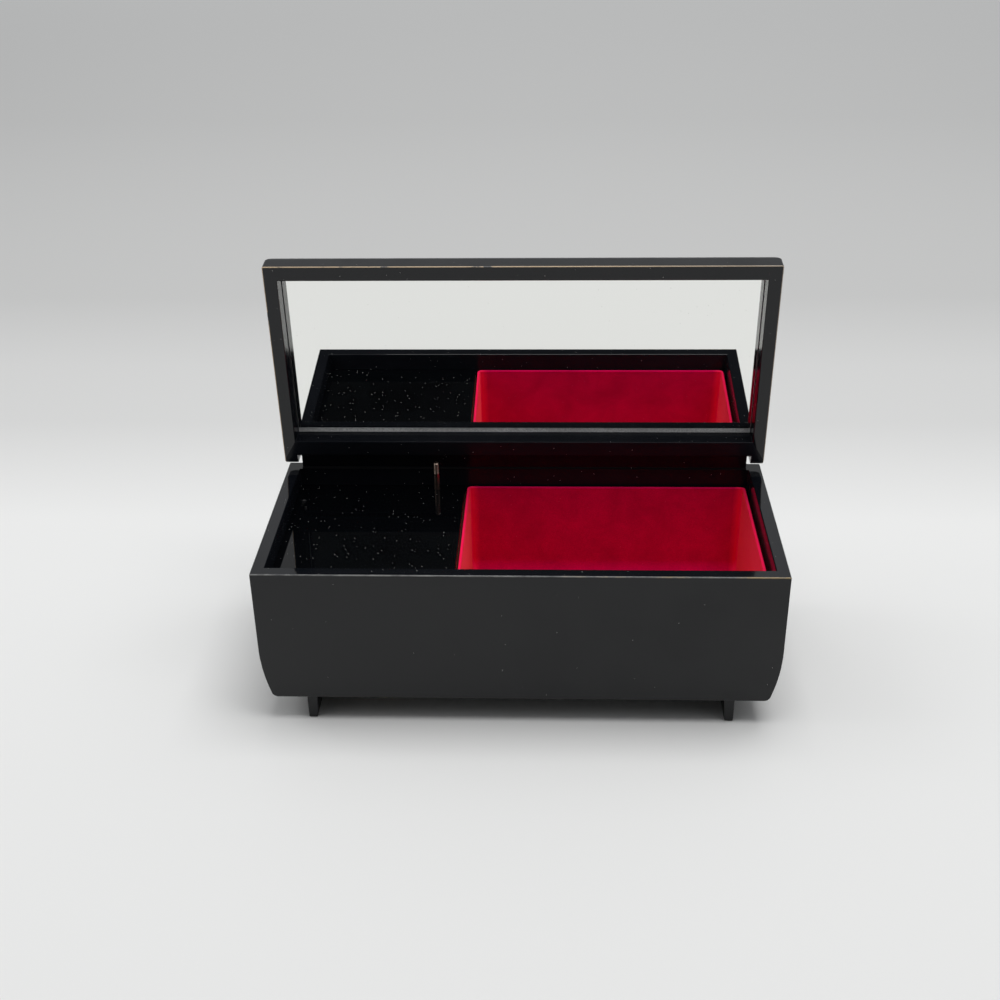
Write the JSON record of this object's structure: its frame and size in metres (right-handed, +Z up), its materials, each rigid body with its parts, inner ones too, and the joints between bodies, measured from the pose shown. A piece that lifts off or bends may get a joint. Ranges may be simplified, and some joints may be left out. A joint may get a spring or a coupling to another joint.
{
  "type": "musical jewellery box",
  "caption": "Black lacquered musical jewellery box standing open: mirrored hinged lid, red flocked well, covered spring-driven comb movement, lid-pressed stop pin, key below, runner feet.",
  "frame": {"origin": "middle of the open box's outline on the surface it stands on", "axes": "+X to the right seen from the front, +Y to the back where the lid is hinged, +Z up"},
  "size_m": [0.2008, 0.0952, 0.1603],
  "materials": {
    "black_lacquer": "black piano lacquer over wood, satin on the front, glossy elsewhere",
    "gloss_panel": "thin board in high-gloss black lacquer",
    "bottom_wood": "board stained matt black",
    "inner_wood": "plain unfinished softwood",
    "red_flock": "formed shell with crimson flock",
    "mirror_glass": "silvered glass with ground edges",
    "steel": "bright drawn steel",
    "brass": "machined brass",
    "brass_key": "plated brass, worn bright at the wings",
    "cast_bed": "cast and plated bedplate",
    "fan_sheet": "thin aluminium"
  },
  "bodies": {
    "case": {"front_board": "black_lacquer", "left_end_board": "black_lacquer", "right_end_board": "black_lacquer", "back_board": "black_lacquer", "hinge_pins": "steel", "bottom_board": "bottom_wood", "left_foot_runner": "black_lacquer", "right_foot_runner": "black_lacquer", "partition_board": "inner_wood", "front_ledge_strip": "inner_wood", "rear_ledge_strip": "inner_wood", "music_cover_panel": "gloss_panel", "jewellery_tray": "red_flock", "pin_guide_block": "inner_wood", "movement_mounting_screws": "steel", "note_comb": "steel", "comb_screws": "steel", "barrel_bridge": "brass", "bridge_screws": "steel", "click": "steel", "click_screw": "steel", "governor_bracket": "brass", "governor_bracket_screw": "steel", "train_plate": "brass", "train_plate_screws": "steel", "movement_bedplate": "cast_bed"},
    "lid": {"lid_left_stile": "black_lacquer", "lid_right_stile": "black_lacquer", "lid_front_rail": "black_lacquer", "lid_rear_rail": "black_lacquer", "lid_top_panel": "black_lacquer", "lid_mirror_plate": "mirror_glass"},
    "stop_plunger": {"stop_pin": "steel", "stop_arm": "brass", "stop_pin_nut": "brass", "stop_pin_spring": "steel"},
    "winding": {"winding_key": "brass_key", "winding_arbor": "steel", "ratchet_wheel": "steel"},
    "barrel": {"spring_housing": "steel", "housing_crown_wheel": "brass", "mainspring": "steel"},
    "cylinder": {"pinned_cylinder": "brass", "cylinder_arbor": "steel", "cylinder_pinion": "brass", "cylinder_wheel": "brass"},
    "second_arbor": {"intermediate_arbor": "steel", "worm_wheel": "brass"},
    "governor": {"governor_worm": "steel", "governor_fan": "fan_sheet", "brake_disc": "fan_sheet"}
  },
  "joints": [
    {"name": "lid_hinge", "type": "hinge", "parent": "case", "child": "lid", "pos_m": [0, 0.04029, 0.07285], "axis": [1, 0, 0], "range_deg": [0, 85.66]},
    {"name": "stop_pin_slide", "type": "slide", "parent": "case", "child": "stop_plunger", "axis": [0, 0, -1], "range_m": [0, 0.00455], "deforming": ["stop_pin_spring"]},
    {"name": "key_turn", "type": "hinge", "parent": "case", "child": "winding", "pos_m": [-0.058, -0.02061, 0.011], "axis": [0, 0, 1], "continuous": true},
    {"name": "barrel_turn", "type": "hinge", "parent": "case", "child": "barrel", "pos_m": [-0.058, -0.02061, 0.0196], "axis": [0, 0, 1], "continuous": true},
    {"name": "cylinder_turn", "type": "hinge", "parent": "case", "child": "cylinder", "pos_m": [-0.058, -0.00521, 0.0346], "axis": [0, 1, 0], "continuous": true},
    {"name": "second_arbor_turn", "type": "hinge", "parent": "case", "child": "second_arbor", "pos_m": [-0.0435, 0.01959, 0.0346], "axis": [0, 1, 0], "continuous": true},
    {"name": "governor_spin", "type": "hinge", "parent": "case", "child": "governor", "pos_m": [-0.0359, 0.01309, 0.0346], "axis": [0, 0, 1], "continuous": true}
  ],
  "couplings": [
    {"joint": "stop_pin_slide", "follows": "lid_hinge", "m_per_rad": 0.003043},
    {"joint": "cylinder_turn", "follows": "barrel_turn", "ratio": 2},
    {"joint": "second_arbor_turn", "follows": "barrel_turn", "ratio": -9.6},
    {"joint": "governor_spin", "follows": "barrel_turn", "ratio": -230.4}
  ]
}
